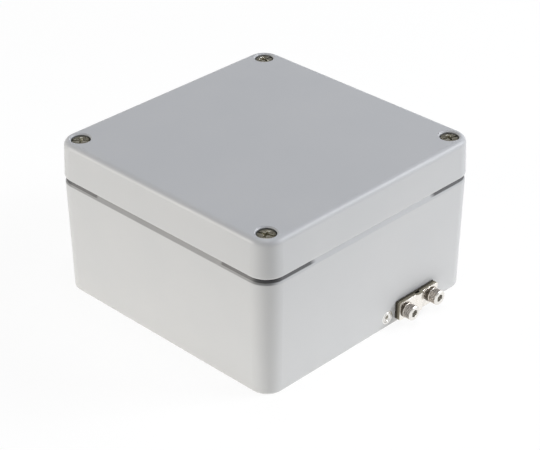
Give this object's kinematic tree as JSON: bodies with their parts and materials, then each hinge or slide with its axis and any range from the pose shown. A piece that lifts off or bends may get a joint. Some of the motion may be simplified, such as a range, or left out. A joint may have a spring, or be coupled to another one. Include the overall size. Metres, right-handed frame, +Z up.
{
  "type": "die cast aluminium enclosure",
  "caption": "Square painted die cast aluminium box with a screwed, gasketed lid and an earth terminal on one wall.",
  "frame": {"origin": "centre of the box body's underside, the terminal not counted", "axes": "+Z up towards the lid, -Y out of the wall that carries the earth terminal, +X to the right when facing that wall"},
  "size_m": [0.1598, 0.1682, 0.092],
  "materials": {
    "painted_casting": "satin",
    "gasket_rubber": "matte",
    "plated_terminal": "satin",
    "stainless_screws": "satin",
    "retainer_plastic": "satin"
  },
  "bodies": {
    "box": {"box_body": "painted_casting", "earth_base_plate": "plated_terminal", "countersunk_screw": "stainless_screws"},
    "cover": {"lid": "painted_casting", "lid_gasket": "gasket_rubber"},
    "retainer_front_left": {"screw_retainer_front_left": "retainer_plastic"},
    "screw_front_left": {"lid_screw_front_left": "stainless_screws"},
    "retainer_front_right": {"screw_retainer_front_right": "retainer_plastic"},
    "screw_front_right": {"lid_screw_front_right": "stainless_screws"},
    "retainer_back_left": {"screw_retainer_back_left": "retainer_plastic"},
    "screw_back_left": {"lid_screw_back_left": "stainless_screws"},
    "retainer_back_right": {"screw_retainer_back_right": "retainer_plastic"},
    "screw_back_right": {"lid_screw_back_right": "stainless_screws"},
    "earth_clamp": {"earth_clamp_plate": "plated_terminal", "earth_washer_left": "stainless_screws", "earth_washer_right": "stainless_screws"},
    "earth_bolt_left": {"earth_screw_left": "stainless_screws"},
    "earth_bolt_right": {"earth_screw_right": "stainless_screws"},
    "inner_saddle": {"inner_earth_saddle": "plated_terminal", "inner_earth_washer": "stainless_screws"},
    "inner_bolt": {"inner_earth_screw": "stainless_screws"}
  },
  "joints": [
    {"name": "lid_lift", "type": "slide", "parent": "box", "child": "cover", "axis": [0, 0, 1], "range_m": [0, 0.12]},
    {"name": "retainer_front_left_rise", "type": "slide", "parent": "cover", "child": "retainer_front_left", "axis": [0, 0, 1], "range_m": [0, 0.0095]},
    {"name": "screw_front_left_turn", "type": "hinge", "parent": "retainer_front_left", "child": "screw_front_left", "pos_m": [-0.0695, -0.0695, 0.086], "axis": [0, 0, 1], "range_deg": [0, 3420.5]},
    {"name": "retainer_front_right_rise", "type": "slide", "parent": "cover", "child": "retainer_front_right", "axis": [0, 0, 1], "range_m": [0, 0.0095]},
    {"name": "screw_front_right_turn", "type": "hinge", "parent": "retainer_front_right", "child": "screw_front_right", "pos_m": [0.0695, -0.0695, 0.086], "axis": [0, 0, 1], "range_deg": [0, 3420.5]},
    {"name": "retainer_back_left_rise", "type": "slide", "parent": "cover", "child": "retainer_back_left", "axis": [0, 0, 1], "range_m": [0, 0.0095]},
    {"name": "screw_back_left_turn", "type": "hinge", "parent": "retainer_back_left", "child": "screw_back_left", "pos_m": [-0.0695, 0.0695, 0.086], "axis": [0, 0, 1], "range_deg": [0, 3420.5]},
    {"name": "retainer_back_right_rise", "type": "slide", "parent": "cover", "child": "retainer_back_right", "axis": [0, 0, 1], "range_m": [0, 0.0095]},
    {"name": "screw_back_right_turn", "type": "hinge", "parent": "retainer_back_right", "child": "screw_back_right", "pos_m": [0.0695, 0.0695, 0.086], "axis": [0, 0, 1], "range_deg": [0, 3420.5]},
    {"name": "earth_clamp_out", "type": "slide", "parent": "box", "child": "earth_clamp", "axis": [0, -0.9998, -0.0209], "range_m": [0, 0.005]},
    {"name": "earth_bolt_left_turn", "type": "hinge", "parent": "earth_clamp", "child": "earth_bolt_left", "pos_m": [0.0243, -0.07847, 0.0085], "axis": [0, -0.9998, -0.0209], "range_deg": [0, 2250.5]},
    {"name": "earth_bolt_right_turn", "type": "hinge", "parent": "earth_clamp", "child": "earth_bolt_right", "pos_m": [0.0453, -0.07847, 0.0085], "axis": [0, -0.9998, -0.0209], "range_deg": [0, 2250.5]},
    {"name": "inner_saddle_rise", "type": "slide", "parent": "box", "child": "inner_saddle", "axis": [0, 0, 1], "range_m": [0, 0.004]},
    {"name": "inner_bolt_turn", "type": "hinge", "parent": "inner_saddle", "child": "inner_bolt", "pos_m": [0.0348, -0.0682, 0.0209], "axis": [0, 0, 1], "range_deg": [0, 1800.5]}
  ],
  "couplings": [
    {"joint": "screw_front_left_turn", "follows": "retainer_front_left_rise", "rad_per_m": 6283.2},
    {"joint": "screw_front_right_turn", "follows": "retainer_front_right_rise", "rad_per_m": 6283.2},
    {"joint": "screw_back_left_turn", "follows": "retainer_back_left_rise", "rad_per_m": 6283.2},
    {"joint": "screw_back_right_turn", "follows": "retainer_back_right_rise", "rad_per_m": 6283.2},
    {"joint": "earth_bolt_left_turn", "follows": "earth_clamp_out", "rad_per_m": 7854},
    {"joint": "earth_bolt_right_turn", "follows": "earth_clamp_out", "rad_per_m": 7854},
    {"joint": "inner_bolt_turn", "follows": "inner_saddle_rise", "rad_per_m": 7854}
  ]
}
